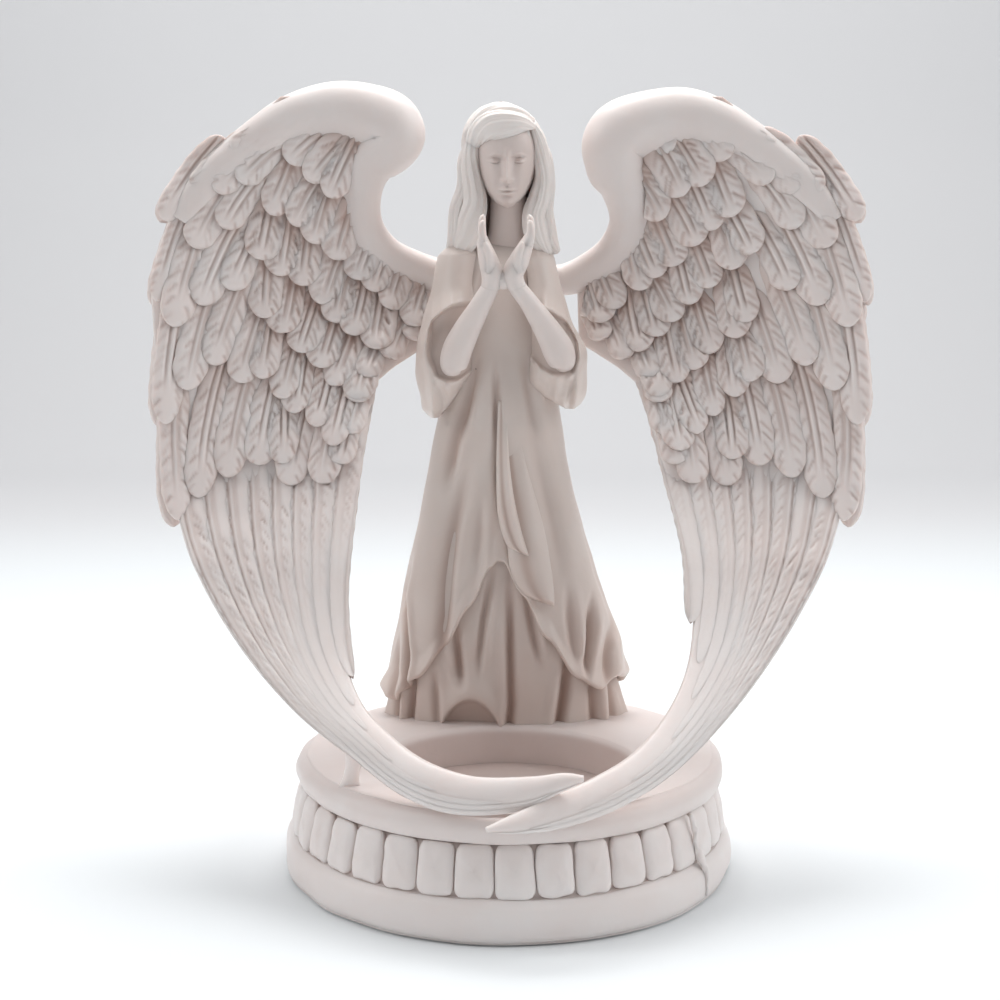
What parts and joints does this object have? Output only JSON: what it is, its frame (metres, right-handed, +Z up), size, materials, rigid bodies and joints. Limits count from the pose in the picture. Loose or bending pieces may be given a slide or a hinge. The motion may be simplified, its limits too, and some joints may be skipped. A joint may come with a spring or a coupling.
{
  "type": "angel tealight holder",
  "caption": "Cast resin angel with hands raised in prayer, standing on a round block-edged plinth, wings sweeping forward round a shallow candle well.",
  "frame": {"origin": "centre of the plinth's underside, the point it stands on", "axes": "+Z up, -Y towards the front where the wing tips cross, +X towards the figure's left hand"},
  "size_m": [0.1166, 0.077, 0.1293],
  "materials": {
    "plinth_resin": "satin cast resin, faintly translucent",
    "gown_resin": "satin cast resin, faintly translucent",
    "skin_resin": "satin cast resin, smooth",
    "hair_resin": "satin cast resin with strand lines",
    "wing_resin": "satin cast resin, thin and translucent at the edges",
    "dowel_steel": "drawn wire, hidden in the castings"
  },
  "bodies": {
    "root": {"bodice": "gown_resin", "forearm_left": "skin_resin", "forearm_right": "skin_resin", "gown_dowel": "dowel_steel", "hair": "hair_resin", "hand_left": "skin_resin", "hand_right": "skin_resin", "head": "skin_resin", "neck": "skin_resin", "overskirt": "gown_resin", "plinth_blocks": "plinth_resin", "plinth_drum": "plinth_resin", "plinth_foot": "plinth_resin", "plinth_rim": "plinth_resin", "sleeve_left": "gown_resin", "sleeve_right": "gown_resin", "underskirt": "gown_resin", "wing_left_arm": "wing_resin", "wing_left_coverts": "wing_resin", "wing_left_dowel": "dowel_steel", "wing_left_flight_feathers": "wing_resin", "wing_left_leading_edge": "wing_resin", "wing_left_wrist": "wing_resin", "wing_right_arm": "wing_resin", "wing_right_coverts": "wing_resin", "wing_right_dowel": "dowel_steel", "wing_right_flight_feathers": "wing_resin", "wing_right_leading_edge": "wing_resin", "wing_right_web": "wing_resin", "wing_right_wrist": "wing_resin"}
  },
  "joints": []
}
